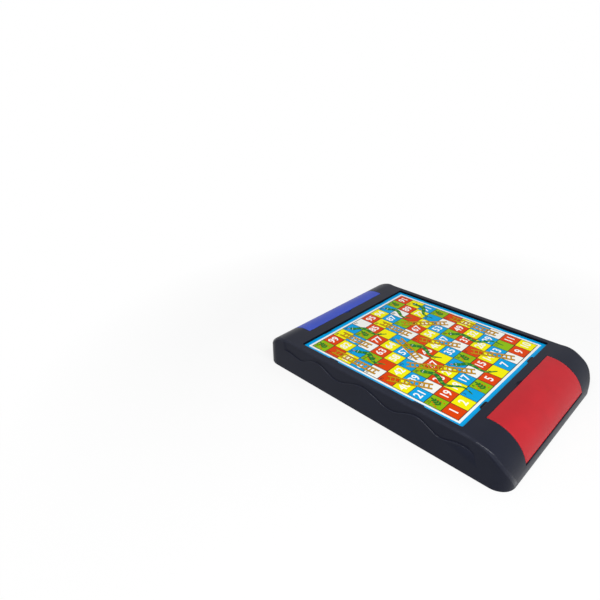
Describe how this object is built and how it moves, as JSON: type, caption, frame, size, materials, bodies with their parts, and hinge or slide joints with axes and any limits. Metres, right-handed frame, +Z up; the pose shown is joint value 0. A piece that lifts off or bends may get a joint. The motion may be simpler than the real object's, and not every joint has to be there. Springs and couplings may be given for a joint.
{
  "type": "board game case",
  "caption": "Flat black games case with rolled ends, a printed number-track card held by tabs in a sunk tray, and a curved hinged lid over a storage bin at each end",
  "frame": {"origin": "Middle of the underside, on the surface that the case rests on", "axes": "+X runs along the case to the red lid, +Y runs across it, and +Z points up out of the face of the card"},
  "size_m": [0.328, 0.228, 0.044],
  "materials": {
    "case_black": "satin",
    "card_print": "satin",
    "lid_red": "satin",
    "lid_blue": "satin",
    "screw_steel": "satin",
    "counter_red": "gloss",
    "counter_yellow": "gloss",
    "counter_green": "gloss",
    "counter_blue": "gloss",
    "die_ivory": "gloss"
  },
  "bodies": {
    "case": {"top_shell": "case_black", "base_plate": "case_black", "game_card": "card_print", "case_screws": "screw_steel", "token_red_1": "counter_red", "token_red_2": "counter_red", "token_red_3": "counter_red", "token_red_4": "counter_red", "token_yellow_1": "counter_yellow", "token_yellow_2": "counter_yellow", "token_yellow_3": "counter_yellow", "token_yellow_4": "counter_yellow", "token_green_1": "counter_green", "token_green_2": "counter_green", "token_green_3": "counter_green", "token_green_4": "counter_green", "token_blue_1": "counter_blue", "token_blue_2": "counter_blue", "token_blue_3": "counter_blue", "token_blue_4": "counter_blue", "die_1": "die_ivory", "die_2": "die_ivory"},
    "red_lid": {"red_lid": "lid_red"},
    "blue_lid": {"blue_lid": "lid_blue"}
  },
  "joints": [
    {"name": "red_lid_hinge", "type": "hinge", "parent": "case", "child": "red_lid", "pos_m": [0.15983, 0, 0.01455], "axis": [0, 1, 0], "range_deg": [0, 100]},
    {"name": "blue_lid_hinge", "type": "hinge", "parent": "case", "child": "blue_lid", "pos_m": [-0.16127, 0, 0.01455], "axis": [0, -1, 0], "range_deg": [0, 100]}
  ]
}
